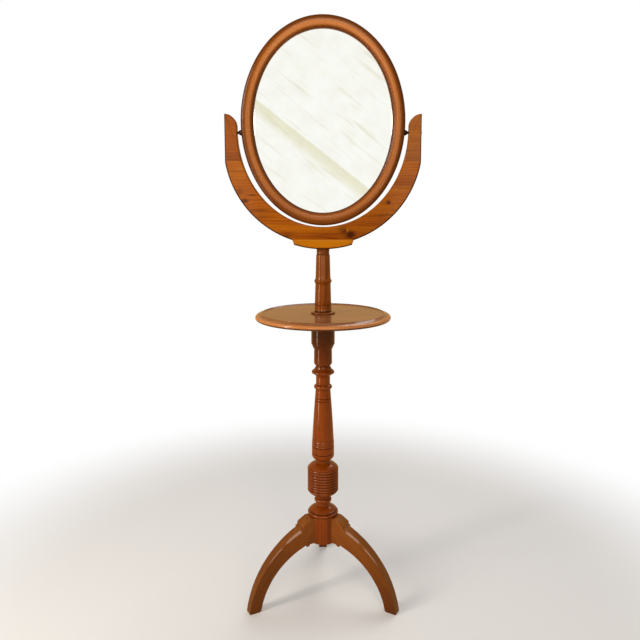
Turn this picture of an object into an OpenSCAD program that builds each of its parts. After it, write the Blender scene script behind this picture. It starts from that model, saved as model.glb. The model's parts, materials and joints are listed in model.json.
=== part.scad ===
// Victorian shaving stand: an oval swing mirror in a sawn yoke, on a turned column with a
// round tray, standing on three sabre legs. Millimetres, +Z up. The origin is on the floor
// under the column's axis, and the mirror faces -Y.

/* [Tripod] */
// Height of the column's lower end above the floor
ground_clear = 149; // [135:0.5:175]
// Radius from the column's axis to the outer corner of a foot
leg_reach = 232; // [215:1:250]
// Radial length of a foot's sole
foot_len = 32; // [26:1:38]
// Thickness of a leg at the column
leg_t = 37; // [30:1:40]
// Thickness of a leg at the foot
foot_t = 21; // [16:1:26]
// Radius of the leg's outer sweep
leg_sweep_out = 258; // [240:1:290]
// Radius of the leg's inner sweep
leg_sweep_in = 194; // [180:1:215]
// Radius at which the square shoulder block of a leg ends
block_end_r = 73; // [66:1:80]
// Height of the step below the shoulder block
block_step = 8; // [5:0.5:12]
// Drop of the shoulder block's sloping top
block_drop = 13; // [8:0.5:18]
// Half thickness of a leg between its two stopped chamfers
chamfer_half = 12.5; // [11:0.5:15]
// Length of a leg's sliding dovetail into the column
dovetail_len = 12; // [9:0.5:14]
// Width of the dovetail at the leg's shoulder
dovetail_neck = 11; // [8:0.5:14]
// Width of the dovetail at its root
dovetail_root = 16; // [14.5:0.5:19]

/* [Column] */
// Radius of the hub drum that holds the legs
hub_r = 41.5; // [38:0.5:46]
// Height of the hub drum
hub_h = 77; // [70:0.5:86]
// Radius of the bell flange above the hub
flange_r = 43; // [42:0.5:50]
// Height of the bell flange
flange_h = 31; // [26:0.5:36]
// Radius of the column's necks
neck_r = 19.5; // [17:0.5:22]
// Radius of the small bead under the knop
low_bead_r = 24.3; // [23:0.1:28]
// Height of the small bead under the knop
low_bead_h = 11.5; // [9:0.5:16]
// Radius of the ringed knop
knop_r = 43.4; // [37:0.1:48]
// Height of the knop's curved lower part
knop_foot_h = 12.5; // [11:0.5:20]
// Number of turned rings round the knop
knop_rings = 9; // [6:1:12]
// Height of one ring
knop_ring_h = 7.7; // [6:0.1:9]
// Depth of the groove between two rings
knop_groove = 2.2; // [1:0.1:3]
// Height of the knop's round shoulder
knop_shoulder_h = 12.5; // [11:0.5:20]
// Radius of the vase above the knop
vase_r = 31; // [28:0.5:36]
// Height of the vase's banded foot
vase_band_h = 58; // [52:1:66]
// Number of cut lines near the top of the vase's band
vase_lines = 4; // [2:1:5]
// Distance between two of those lines
vase_line_pitch = 5.8; // [4.5:0.1:6.8]
// Height of the vase's long taper
vase_taper_h = 144; // [130:1:180]
// Radius at the top of the vase's taper
vase_top_r = 20.4; // [19.5:0.1:24]
// Distance from the taper's top down to the middle of its cut ring
taper_ring_drop = 29.3; // [20:0.1:40]
// Width of that ring
taper_ring_w = 6.8; // [5:0.1:9]
// Radius of the bead on top of the vase
vase_bead_r = 25.2; // [24:0.1:29]
// Radius of the sharp ring below the drum
ring_r = 31.8; // [28:0.1:36]
// Height from the vase's bead to the middle of the sharp ring
ring_rise = 43; // [38:0.5:50]
// Radius of the plain barrel above the ring
barrel_r = 25; // [23:0.5:28]
// Height of the plain barrel
barrel_h = 36.5; // [28:0.5:46]
// Radius of the drum under the tray
drum_r = 32.3; // [30:0.1:38]
// Height of the drum under the tray
drum_h = 65.5; // [50:0.5:75]

/* [Tray] */
// Radius of the tray over its moulded rim
tray_r = 184.5; // [165:0.5:205]
// Thickness of the tray at its flat
tray_t = 20; // [18:0.5:26]
// Height of the rim's lip above the flat
lip_h = 2.4; // [1.8:0.1:5]
// Width of the moulded rim outside the lip
rim_w = 17.5; // [14:0.5:24]
// Radius of the circle of screws under the post's foot
tray_screw_circle = 23; // [20:0.5:26]

/* [Upper post] */
// Height of the post between the tray and the saddle block
post_h = 176; // [150:1:230]
// Radius of the foot ring on the tray
post_foot_r = 33.5; // [30:0.5:38]
// Radius at the bottom of the post's shaft
post_low_r = 22.5; // [20:0.1:25]
// Radius at the top of the post's shaft
post_top_r = 18; // [15:0.1:19.5]
// Height of the post's middle bead above the tray
post_bead_z = 89.5; // [70:0.5:105]
// Radius of the post's middle bead
post_bead_r = 24.2; // [23:0.1:27]
// Radius of the tenon that goes down through the tray
tenon_r = 13; // [10:0.5:15]
// Length of that tenon below the tray's top
tenon_len = 62; // [45:1:75]
// Radius of the stub tenon through the saddle block into the yoke
stub_r = 7.5; // [5:0.5:8]
// Length of the stub tenon
stub_len = 36; // [25:1:42]

/* [Yoke] */
// Length of the saddle block along its top
saddle_l = 165; // [140:1:200]
// Depth of the saddle block from front to back
saddle_d = 46; // [38:1:56]
// Height of the saddle block
saddle_h = 25.5; // [22:0.5:32]
// Wood left under the yoke at the block's middle
saddle_floor = 10; // [8:0.5:14]
// Thickness of the yoke board
yoke_t = 24; // [20:0.5:28]
// Depth of the yoke board at its middle
yoke_depth = 48.5; // [42:0.5:56]
// Width of a horn at its pivot
horn_w = 32.5; // [28:0.5:38]
// Gap between the mirror's frame and a horn
side_gap = 10; // [9:0.5:14]
// Gap between the mirror's frame and the yoke's lowest point
bottom_gap = 4; // [3:0.5:10]
// Height above the pivots at which the yoke's inner curve turns upright
curve_rise = 9; // [0:0.5:20]
// Height of the horn tips above the pivots
tip_rise = 47.5; // [40:0.5:56]
// How much larger the outer curve's radius is than half the yoke's width
yoke_full = 4; // [1:0.5:10]
// Distance of the glue joints below the pivots
glue_drop = 74.5; // [60:0.5:90]
// Radius of the dowels in the glue joints
dowel_r = 4; // [3:0.5:5]
// Length of one dowel
dowel_len = 40; // [30:1:50]

/* [Mirror] */
// Width of the glass that shows
sight_w = 365; // [350:1:372]
// Height of the glass that shows
sight_h = 474; // [455:1:478]
// Width of the frame's moulding
mould_w = 34; // [30:0.5:34]
// Height of the moulding's crest in front of the pivot axis
mould_crest = 15; // [12:0.5:18]
// Depth of the frame behind the pivot axis
mould_back = 9; // [8:0.5:12]
// Distance from the pivot axis up to the middle of the mirror
mirror_above = 27; // [24:0.5:32]
// Width of the rebate that holds the glass
rebate_w = 12; // [9:0.5:13]
// Thickness of the glass
glass_t = 3; // [2:0.5:4]
// Thickness of the backboard
backboard_t = 5; // [4:0.5:8]
// Number of screws round the backboard
backboard_screws = 10; // [6:1:16]
// Number of glue blocks behind the glass
glass_blocks = 10; // [6:1:16]

/* [Pivots] */
// Radius of a pivot screw
pin_r = 3.5; // [2.5:0.1:4]
// Radial running clearance of a pivot screw in its boss
pin_clear = 0.06; // [0.03:0.01:0.1]
// Radius of the boss at the mirror frame
boss_r = 8; // [7:0.5:10]
// Radius of the boss at its mouth
boss_mouth_r = 4.8; // [4.5:0.1:6]
// Length of the flared part of the boss
boss_flare = 8; // [6:0.5:9]
// Radius of the boss's shank inside the frame
shank_r = 5.2; // [5:0.1:6]
// Length of the boss's shank
shank_len = 18; // [14:0.5:19]
// Radius of a pivot screw's head
head_r = 4.8; // [4.2:0.1:6.5]
// Thickness of a pivot screw's head
head_h = 3; // [2:0.5:4]
// How far the right screw's head stands out of its horn
head_proud = 1.4; // [0:0.1:2]

/* [Hidden] */
$fn = 96;
glue = 0.1;        // glue line round every wood joint
sink = 0.2;        // how far a screw's head lies below the wood
over = 1;          // how far a cutter runs past a face
leg_az = [210, 330, 90];

// heights, each from the piece below
hub_top = ground_clear + hub_h;
flange_top = hub_top + flange_h;
knop_z = flange_top + low_bead_h + 12;
rings_z = knop_z + knop_foot_h;
rings_top = rings_z + knop_rings * knop_ring_h;
knop_top = rings_top + knop_shoulder_h;
band_z = knop_top + 10.5;
taper_z = band_z + vase_band_h;
taper_top = taper_z + vase_taper_h;
vase_bead_z = taper_top + 6;
ring_z = vase_bead_z + ring_rise;
barrel_z = ring_z + 27;
barrel_top = barrel_z + barrel_h;
drum_z = barrel_top + 14;
column_top = drum_z + drum_h;
tray_flat = column_top + tray_t;
post_top = tray_flat + post_h;
yoke_z = post_top + saddle_floor;
saddle_top = post_top + saddle_h;
mirror_z = yoke_z + yoke_depth + bottom_gap + mould_w + sight_h / 2;
pivot_z = mirror_z - mirror_above;
tip_z = pivot_z + tip_rise;
glue_z = pivot_z - glue_drop;
inner_z = pivot_z + curve_rise;                 // level where the inner curve turns upright
yoke_inner_h = inner_z - yoke_z - yoke_depth;
horn_in = sight_w / 2 + mould_w + side_gap;
horn_out = horn_in + horn_w;
yoke_sweep = horn_out + yoke_full;

// ---- outlines -------------------------------------------------------------------------
function arc(cx, cy, rx, ry, a0, a1, n) =
  [for (i = [0:n]) let (a = a0 + (a1 - a0) * i / n) [cx + rx * cos(a), cy + ry * sin(a)]];

// centre of the circle of radius r through p and q, on the side of the origin
function sweep_centre(p, q, r) =
  let (m = (p + q) / 2, d = q - p, h = sqrt(r * r - d * d / 4))
  m + [-d[1], d[0]] / norm(d) * h;

// ellipse of the sight edge moved outwards by u
function oval_point(u, t) =
  let (a = sight_w / 2, b = sight_h / 2, k = norm([cos(t) / a, sin(t) / b]))
  [a * cos(t) + u * cos(t) / a / k, b * sin(t) + u * sin(t) / b / k];
function oval_normal(t) = atan2(sin(t) * sight_w, cos(t) * sight_h);
function oval(u, n = 96) = [for (i = [0:n - 1]) oval_point(u, 360 * i / n)];

// middle of the circle that leaves the chord from p to q by sag, positive outwards
function bow_centre(p, q, sag) =
  let (d = [q[0] - p[0], q[1] - p[1]], c = norm(d), r = bow_radius(p, q, sag))
  [p[0] + q[0], p[1] + q[1]] / 2 + [d[1], -d[0]] / c * (sag > 0 ? sag - r : sag + r);
function bow_radius(p, q, sag) =
  let (c = norm([q[0] - p[0], q[1] - p[1]])) (c * c / 4 + sag * sag) / 2 / abs(sag);

// the disc of that circle between the heights of p and q, from the radius inner outwards
module bow(p, q, sag, inner) {
  intersection() {
    translate(bow_centre(p, q, sag)) circle(r = bow_radius(p, q, sag), $fn = 180);
    translate([inner, p[1]]) square([400, q[1] - p[1]]);
  }
}

// the same arc from p towards q as n points
function bow_points(p, q, sag, n) =
  sag == 0 ? [[p[0], p[1]]] :
  let (c = bow_centre(p, q, sag), r = bow_radius(p, q, sag),
       a0 = atan2(p[1] - c[1], p[0] - c[0]), turned = atan2(q[1] - c[1], q[0] - c[0]) - a0,
       a = turned > 180 ? turned - 360 : turned < -180 ? turned + 360 : turned)
  [for (i = [0:n - 1]) c + r * [cos(a0 + a * i / n), sin(a0 + a * i / n)]];
function bow_line(line, n = 8) = concat(
  [for (i = [0:len(line) - 2]) each bow_points(line[i], line[i + 1], line[i][2], n)],
  [[line[len(line) - 1][0], line[len(line) - 1][1]]]);

// turning with the outline [radius, height, sag], from the lower end up: sag says how far the
// line from this point to the next swells out of its chord, or sinks into it when negative
module turn(line, inner = 0) {
  last = len(line) - 1;
  rotate_extrude($fn = 120)
    difference() {
      union() {
        polygon(concat([[inner, line[0][1]]], [for (p = line) [p[0], p[1]]], [[inner, line[last][1]]]));
        for (i = [0:last - 1]) if (line[i][2] > 0) bow(line[i], line[i + 1], line[i][2], inner + 1);
      }
      for (i = [0:last - 1]) if (line[i][2] < 0) bow(line[i], line[i + 1], line[i][2], inner + 1);
    }
}

// ---- column ---------------------------------------------------------------------------
hub_part = [
  [hub_r - 3, ground_clear, 0], [hub_r - 0.9, ground_clear + 0.9, 0], [hub_r, ground_clear + 3, 0],
  [hub_r, hub_top, 0]];
flange_part = [
  [flange_r - 3.8, hub_top, 3.8], [flange_r - 3.8, hub_top + 8, 0],
  [flange_r - 5.5, hub_top + 8.6, 0], [flange_r - 5.5, hub_top + 9.6, 0],
  [flange_r - 6.3, hub_top + 9.9, 1.3], [flange_r - 6.3, hub_top + 13, 0],
  [flange_r - 7.3, hub_top + 13.4, 1.2], [neck_r + 0.5, hub_top + flange_h - 8, 0],
  [neck_r, hub_top + flange_h - 7.5, 0], [neck_r, flange_top + 3, 0]];
low_bead_part = [
  [neck_r + 1, flange_top + 3, low_bead_r - neck_r - 1], [neck_r + 1, flange_top + 3 + low_bead_h, 0],
  [neck_r, flange_top + 3.5 + low_bead_h, 0], [neck_r, knop_z, 0]];
knop_part = concat(
  [[neck_r + 1.5, knop_z, 2], [knop_r - 2, rings_z, 0]],
  [for (i = [0:knop_rings - 1]) let (z = rings_z + i * knop_ring_h)
    each [[knop_r - knop_groove, z + 0.5, knop_groove], [knop_r - knop_groove, z + knop_ring_h - 0.5, 0]]],
  [[knop_r - 1.5, rings_top, 2.2], [neck_r + 1.5, knop_top, 0], [neck_r + 0.5, knop_top + 1, 0],
   [neck_r, knop_top + 1.5, 0], [neck_r, band_z - 1, 0]]);
vase_lines_z = taper_z - 3 - (vase_lines - 1) * vase_line_pitch;
vase_part = concat(
  [[neck_r + 1.5, band_z, 1.8], [vase_r, band_z + 10, 0],
   [vase_r, band_z + 17.2, 0], [vase_r - 1.2, band_z + 18, 0], [vase_r - 1.2, band_z + 18.8, 0],
   [vase_r, band_z + 19.6, 0], [vase_r, vase_lines_z - 1.4, 0], [vase_r - 1.3, vase_lines_z - 0.5, 0]],
  [for (i = [0:vase_lines - 2]) let (z = vase_lines_z + i * vase_line_pitch)
    each [[vase_r - 1.1, z + 0.5, 1], [vase_r - 1.1, z + vase_line_pitch - 0.5, 0]]],
  [[vase_r - 1.5, taper_z - 2.5, 0], [vase_r - 1, taper_z - 1.5, 0], [vase_r - 1, taper_z, 0]]);
taper_bow = 0.6;
function taper_r(z) =
  let (t = (z - taper_z) / vase_taper_h)
  vase_r - 1 - (vase_r - 1 - vase_top_r) * t + 4 * taper_bow * t * (1 - t);
taper_lines = [for (side = [-1, 1]) taper_top - taper_ring_drop + side * taper_ring_w / 2];
taper_part = concat(
  [for (t = [0.12, 0.24, 0.36, 0.48, 0.6]) let (z = taper_z + vase_taper_h * t) [taper_r(z), z, 0]],
  [for (z = taper_lines)
    each [[taper_r(z - 1.5), z - 1.5, 0], [taper_r(z) - 1.3, z, 0], [taper_r(z + 1.5), z + 1.5, 0]]],
  [[vase_top_r, taper_top, 0],
   [vase_top_r + 0.5, taper_top + 0.3, vase_bead_r - vase_top_r - 0.5],
   [vase_top_r + 0.5, taper_top + 11.7, 0], [neck_r, taper_top + 12.5, 0]]);
ring_part = [
  [neck_r, ring_z - 13, 0], [neck_r + 0.5, ring_z - 12.6, -0.8], [ring_r - 5, ring_z - 5.5, 0],
  [ring_r - 3, ring_z - 5, 2.6], [ring_r - 3, ring_z + 3, 0], [ring_r - 4.2, ring_z + 3.6, -0.7],
  [neck_r + 1, ring_z + 14.5, 0], [neck_r, ring_z + 15, 0], [neck_r, barrel_z - 9, 0]];
barrel_part = [
  [neck_r + 1, barrel_z - 8.5, 1.6], [barrel_r, barrel_z, 0], [barrel_r - 0.4, barrel_top, 0],
  [barrel_r + 0.2, barrel_top + 0.6, 0.4], [drum_r - 2, drum_z - 2, 0]];
drum_part = [
  [drum_r - 1.4, drum_z - 1.2, 0], [drum_r - 1.4, drum_z, 0], [drum_r, drum_z + 1.2, 0],
  [drum_r, column_top, 0]];

module column() {
  color([0.45, 0.22, 0.08])
    difference() {
      turn(concat(hub_part, flange_part, low_bead_part, knop_part, vase_part, taper_part,
                  ring_part, barrel_part, drum_part));
      for (az = leg_az) rotate([0, 0, az]) dovetail(glue, ground_clear - over, hub_top - 2);
      translate([0, 0, tray_flat - tenon_len - 2])
        cylinder(r = tenon_r + glue, h = tenon_len + 2);
    }
}

// dovetail along +X, grown by fit on every side, between two heights
module dovetail(fit, z0, z1) {
  root_r = hub_r - dovetail_len;
  neck = dovetail_neck / 2 + fit;
  root = dovetail_root / 2 + fit;
  translate([0, 0, z0])
    linear_extrude(z1 - z0)
      polygon([[root_r - fit, -root], [hub_r + 2, -neck], [hub_r + 2, neck], [root_r - fit, root]]);
}

// ---- legs -----------------------------------------------------------------------------
leg_top_z = hub_top - 2.2;
leg_under_z = ground_clear + 4;
block_start_r = 49;
step_z = leg_top_z - block_drop - block_step;
outer_centre = sweep_centre([leg_reach, 0], [block_end_r, step_z], leg_sweep_out);
inner_start = [block_end_r - 4, leg_under_z - 1.5];
inner_centre = sweep_centre([leg_reach - foot_len, 0], inner_start, leg_sweep_in);
bump_r = 6.5;
bump_x = block_start_r + 10;
toe_r = 2.5;
heel_r = 6;
block_soft = 2.5;

// corner of a foot to take away: the rest of the corner around a circle of radius r whose
// middle is at [x, r] and which touches the sweep about c on side dir
module foot_corner(c, sweep, r, dir) {
  x = c[0] + sqrt(pow(sweep, 2) - pow(r - c[1], 2));
  touch = [x, r] + ([x, r] - c) / norm([x, r] - c) * r * dir;
  difference() {
    polygon([[x, -over], [x + dir * 3 * r, -over], touch + [dir * r, 0], touch, [x, r]]);
    translate([x, r]) circle(r = r);
  }
}

module leg_profile() {
  difference() {
    intersection() {
      translate(outer_centre) circle(r = leg_sweep_out, $fn = 180);
      translate([inner_start[0], 0]) square([leg_reach, leg_top_z]);
    }
    translate(inner_centre) circle(r = leg_sweep_in, $fn = 180);
    foot_corner(outer_centre, leg_sweep_out - toe_r, toe_r, 1);
    foot_corner(inner_centre, leg_sweep_in + heel_r, heel_r, -1);
  }
  polygon(concat(
    [[hub_r - 5, leg_top_z], [hub_r - 5, leg_under_z]],
    arc(bump_x, leg_under_z, bump_r, bump_r * 0.8, 180, 360, 12),
    [[block_end_r - 3, leg_under_z], [block_end_r, step_z - 20],
     [block_end_r, step_z + block_step - block_soft],
     [block_end_r - block_soft, step_z + block_step + block_soft / 2], [block_start_r, leg_top_z]]));
}

// cone cutters that chamfer both edges of the outer sweep and run out towards the foot
module leg_chamfers() {
  start = atan2(step_z - outer_centre[1], block_end_r + 8 - outer_centre[0]);
  deep = leg_t / 2 - chamfer_half + over;
  for (side = [-1, 1])
    translate([outer_centre[0], 0, outer_centre[1]])
      rotate([90, 0, 0]) mirror([0, 0, (1 - side) / 2])
        rotate([0, 0, -4])
          rotate_extrude(angle = start + 4, $fn = 180)
            polygon([[leg_sweep_out + over, chamfer_half - over],
                     [leg_sweep_out + over, chamfer_half + deep],
                     [leg_sweep_out - deep, chamfer_half + deep]]);
}

module leg(az) {
  color([0.55, 0.3, 0.08])
    rotate([0, 0, az]) {
      difference() {
        intersection() {
          translate([0, leg_t / 2 + over, 0]) rotate([90, 0, 0])
            linear_extrude(leg_t + 2 * over) leg_profile();
          translate([0, 0, -over]) linear_extrude(hub_top + 2 * over)
            polygon([[0, -leg_t / 2], [block_end_r, -leg_t / 2], [leg_reach + over, -foot_t / 2],
                     [leg_reach + over, foot_t / 2], [block_end_r, leg_t / 2], [0, leg_t / 2]]);
        }
        cylinder(r = hub_r + glue, h = hub_top + over);
        leg_chamfers();
      }
      intersection() {
        dovetail(0, ground_clear, leg_top_z);
        union() {
          cylinder(r = hub_r - 3, h = hub_top);
          translate([0, 0, leg_under_z]) cylinder(r = hub_r + 1, h = hub_h);
        }
      }
    }
}

module leg_left() leg(leg_az[0]);
module leg_right() leg(leg_az[1]);
module leg_back() leg(leg_az[2]);

// ---- tray -----------------------------------------------------------------------------
lip_r = tray_r - rim_w;
tray_outline = [
  [tray_r - 34, column_top, -0.8], [tray_r - 4.6, column_top + 5, 0],
  [tray_r - 3.8, column_top + 5, 3.8], [tray_r - 3.8, tray_flat - 3.5, -1],
  [lip_r + 1, tray_flat + lip_h - 0.9, 0.35], [lip_r, tray_flat + lip_h, 0],
  [lip_r - 1.1, tray_flat + lip_h, 0.3], [lip_r - 2.4, tray_flat + lip_h - 0.8, -0.5],
  [lip_r - 6.5, tray_flat, 0]];

screw_head_r = 4.5;
screw_shank_r = 2.2;
screw_len = 38;

// countersunk wood screw hanging down from its head's face at the origin
module wood_screw(len, head, shank) {
  difference() {
    union() {
      translate([0, 0, -head]) cylinder(r1 = shank, r2 = head, h = head - 0.6);
      translate([0, 0, -0.6]) cylinder(r = head, h = 0.6);
      translate([0, 0, 6 - len]) cylinder(r = shank, h = len - 6);
      translate([0, 0, -len]) cylinder(r1 = 0.5, r2 = shank, h = 6);
    }
    translate([-head, -0.5, -1.2]) cube([2 * head, 1, 2]);
  }
}

// the countersunk hole such a screw needs, down to depth
module screw_hole(depth, head, shank) {
  translate([0, 0, -head - sink]) cylinder(r1 = shank + glue, r2 = head + glue, h = head - 0.6);
  translate([0, 0, -0.6 - sink]) cylinder(r = head + glue, h = 0.6 + sink + over);
  translate([0, 0, -depth]) cylinder(r = shank + glue, h = depth);
}

module at_tray_screws() {
  for (az = [30, 150, 270]) rotate([0, 0, az]) translate([tray_screw_circle, 0, tray_flat]) children();
}

module tray() {
  color([0.62, 0.38, 0.2])
    difference() {
      rotate_extrude($fn = 180)
        polygon(concat([[tenon_r + glue, column_top]], bow_line(tray_outline),
                       [[tenon_r + glue, tray_flat]]));
      at_tray_screws() screw_hole(tray_t + over, screw_head_r, screw_shank_r);
    }
}

module tray_screws() {
  color([0.25, 0.24, 0.23]) at_tray_screws() translate([0, 0, -sink])
    wood_screw(screw_len, screw_head_r, screw_shank_r);
}

// ---- upper post -----------------------------------------------------------------------
function post_shaft_r(z) =
  post_low_r - (post_low_r - post_top_r) * (z - tray_flat - 24) / (post_h - 24);
post_bead_at = tray_flat + post_bead_z;
post_bead_low = post_bead_at - 8;
post_bead_high = post_bead_at + 8.5;
reeds_z = post_top - 17;

post_outline = concat(
  [[tenon_r, tray_flat - tenon_len, 0], [tenon_r, tray_flat, 0],
   [post_foot_r - 1.8, tray_flat, 1.8], [post_foot_r - 1.8, tray_flat + 4.2, 0],
   [post_low_r + 3, tray_flat + 5.2, 0], [post_low_r - 0.6, tray_flat + 5.6, 0],
   [post_low_r - 0.6, tray_flat + 7, 0], [post_low_r + 1, tray_flat + 7.8, -0.4],
   [post_low_r + 0.4, tray_flat + 22.4, 0], [post_low_r - 0.6, tray_flat + 23, 0],
   [post_low_r, tray_flat + 24, 0],
   [post_shaft_r(post_bead_low), post_bead_low, 0.4], [post_bead_r - 0.7, post_bead_at - 1.2, 0.5],
   [post_bead_r - 0.7, post_bead_at + 0.8, -0.7], [post_shaft_r(post_bead_high), post_bead_high, 0],
   [post_shaft_r(reeds_z), reeds_z, 0]],
  [for (i = [0:2]) let (z = reeds_z + 0.7 + i * 5)
    each [[post_top_r - 1.4, z, 1.1], [post_top_r - 1.4, z + 4.2, 0]]],
  [[post_top_r - 0.4, reeds_z + 15.6, 0], [post_top_r - 0.4, post_top, 0],
   [stub_r, post_top, 0], [stub_r, post_top + stub_len, 0]]);

module upper_post() {
  color([0.55, 0.28, 0.1]) turn(post_outline);
}

// ---- saddle block ---------------------------------------------------------------------
saddle_foot_l = saddle_l - 11;
saddle_end_h = 14.5;
saddle_screw_x = 45;
saddle_screw_z = saddle_top - 5.5;
saddle_screw_len = 26;

module at_saddle_screws() {
  for (side = [-1, 1])
    translate([side * saddle_screw_x, saddle_d / 2, saddle_screw_z]) rotate([-90, 0, 0]) children();
}

// boat-shaped front: straight slanted ends and a shallow arc down to a flat under the post
module saddle_front() {
  half = saddle_foot_l / 2;
  sag = saddle_h - saddle_end_h + 0.6;
  radius = (half * half + sag * sag) / 2 / sag;
  polygon([[-saddle_l / 2, saddle_top], [-half, saddle_top - saddle_end_h],
           [half, saddle_top - saddle_end_h], [saddle_l / 2, saddle_top]]);
  intersection() {
    translate([0, post_top - 0.6 + radius]) circle(r = radius, $fn = 180);
    translate([-half, post_top]) square([saddle_foot_l, saddle_h - 2]);
  }
}

module saddle_block() {
  color([0.75, 0.48, 0.15])
    difference() {
      translate([0, saddle_d / 2, 0]) rotate([90, 0, 0]) linear_extrude(saddle_d) saddle_front();
      translate([0, yoke_t / 2 + glue, 0]) rotate([90, 0, 0])
        linear_extrude(yoke_t + 2 * glue)
          intersection() {
            translate([0, yoke_z + yoke_sweep]) circle(r = yoke_sweep + glue, $fn = 180);
            translate([-saddle_l, yoke_z - over]) square([2 * saddle_l, saddle_h]);
          }
      translate([0, 0, post_top - over]) cylinder(r = stub_r + glue, h = saddle_h);
      at_saddle_screws() screw_hole((saddle_d - yoke_t) / 2 + over, screw_head_r, screw_shank_r);
    }
}

module saddle_screws() {
  color([0.45, 0.38, 0.25]) at_saddle_screws() translate([0, 0, -sink])
    wood_screw(saddle_screw_len, screw_head_r, screw_shank_r);
}

// ---- yoke -----------------------------------------------------------------------------
// the space between the horns: straight sides above inner_z, half an oval below
module yoke_inside() {
  polygon(concat([[horn_in, tip_z + over], [-horn_in, tip_z + over]],
                 arc(0, inner_z, horn_in, yoke_inner_h, 180, 360, 120)));
}

module flat_sawn(thickness) {
  translate([0, thickness / 2, 0]) rotate([90, 0, 0]) linear_extrude(thickness) children();
}

dowel_x = [glue_half_in() + 14, horn_out - 12];
function glue_half_in() = horn_in * sqrt(1 - pow((inner_z - glue_z) / yoke_inner_h, 2));

module dowel_set(fit) {
  for (side = [-1, 1], x = dowel_x)
    translate([side * x, 0, glue_z - dowel_len / 2 - fit])
      cylinder(r = dowel_r + fit, h = dowel_len + 2 * fit, $fn = 32);
}

module yoke_board() {
  color([0.7, 0.42, 0.12])
    difference() {
      flat_sawn(yoke_t) difference() {
        intersection() {
          translate([0, yoke_z + yoke_sweep]) circle(r = yoke_sweep, $fn = 180);
          translate([-horn_out, yoke_z - over]) square([2 * horn_out, glue_z - yoke_z + over]);
        }
        yoke_inside();
      }
      dowel_set(glue);
      translate([0, 0, yoke_z - over]) cylinder(r = stub_r + glue, h = post_top + stub_len + 1 + over - yoke_z);
    }
}

// horn on the +X side: straight outside, quarter-round tip falling to the inner edge
module horn() {
  difference() {
    flat_sawn(yoke_t) difference() {
      polygon(concat([[0, glue_z + glue], [horn_out, glue_z + glue]],
                     arc(horn_out, tip_z - horn_w, -horn_w, horn_w, 90, 0, 24),
                     [[0, tip_z - horn_w]]));
      yoke_inside();
    }
    dowel_set(glue);
    translate([0, 0, pivot_z]) rotate([0, 90, 0]) cylinder(r = pin_r + glue, h = horn_out + over);
  }
}

module head_seat(proud) {
  translate([horn_out + proud - head_h - glue, 0, pivot_z]) rotate([0, 90, 0])
    cylinder(r = head_r + glue, h = head_h + over);
}

module yoke_horn_right() {
  color([0.7, 0.42, 0.12]) difference() {
    horn();
    head_seat(head_proud);
  }
}

module yoke_horn_left() {
  color([0.7, 0.42, 0.12]) mirror([1, 0, 0]) difference() {
    horn();
    head_seat(0);
  }
}

module yoke_dowels() {
  color([0.8, 0.65, 0.42]) dowel_set(0);
}

// ---- pivots ---------------------------------------------------------------------------
frame_out = oval_point(mould_w, asin(-mirror_above / (sight_h / 2 + mould_w)))[0];
boss_seat = frame_out - 1.2;
bore_depth = boss_flare + shank_len - 4;
pin_tip = boss_seat + boss_flare - bore_depth + 1;

module pivot_screw(proud) {
  difference() {
    translate([0, 0, pivot_z]) rotate([0, 90, 0]) {
      translate([0, 0, pin_tip]) cylinder(r = pin_r, h = horn_out + proud - head_h / 2 - pin_tip);
      translate([0, 0, horn_out + proud - head_h]) cylinder(r = head_r, h = head_h);
    }
    translate([horn_out + proud - 1.2, -0.6, pivot_z - head_r]) cube([2, 1.2, 2 * head_r]);
  }
}

module pivot_screw_right() {
  color([0.12, 0.11, 0.1]) pivot_screw(head_proud);
}

module pivot_screw_left() {
  color([0.12, 0.11, 0.1]) mirror([1, 0, 0]) pivot_screw(0);
}

module pivot_boss() {
  translate([boss_seat, 0, pivot_z]) rotate([0, 90, 0])
    difference() {
      union() {
        cylinder(r = boss_r, h = 1.5);
        translate([0, 0, 1.5]) cylinder(r1 = boss_r, r2 = boss_mouth_r, h = boss_flare - 1.5);
        translate([0, 0, -shank_len]) cylinder(r = shank_r, h = shank_len + over);
      }
      translate([0, 0, boss_flare - bore_depth]) cylinder(r = pin_r + pin_clear, h = bore_depth + over);
    }
}

module pivot_boss_right() {
  color([0.12, 0.11, 0.1]) pivot_boss();
}

module pivot_boss_left() {
  color([0.12, 0.11, 0.1]) mirror([1, 0, 0]) pivot_boss();
}

// ---- mirror ---------------------------------------------------------------------------
lip_back = glass_t - 0.5;          // face of the rebate's lip, in front of the pivot axis
glass_front = lip_back;
glass_back = glass_front - glass_t;
lip_t = 3;

// moulding section: u outwards from the sight edge, v forwards from the pivot axis
mould_profile = concat(
  [[rebate_w, -mould_back], [rebate_w, lip_back], [0, lip_back], [0, lip_back + lip_t],
   [1.5, lip_back + lip_t + 1.2], [3, lip_back + lip_t + 1.2]],
  arc((3 + mould_w) / 2, lip_back + lip_t + 1, (mould_w - 3) / 2, mould_crest - lip_back - lip_t - 1,
      172, 8, 11),
  [[mould_w, lip_back + lip_t - 1], [mould_w, -mould_back]]);

// the section swept round the oval as one closed ring
module oval_ring(profile, n = 96) {
  m = len(profile);
  points = [for (i = [0:n - 1], p = profile)
             let (q = oval_point(p[0], 360 * i / n)) [q[0], -p[1], q[1]]];
  faces = [for (i = [0:n - 1], j = [0:m - 1])
             let (k = (i + 1) % n, l = (j + 1) % m) [i * m + j, i * m + l, k * m + l, k * m + j]];
  translate([0, 0, mirror_z]) polyhedron(points, faces);
}

// flat oval plate from its front face at v_front back by t
module oval_plate(u, v_front, t) {
  translate([0, t - v_front, mirror_z]) rotate([90, 0, 0]) linear_extrude(t) polygon(oval(u));
}

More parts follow.
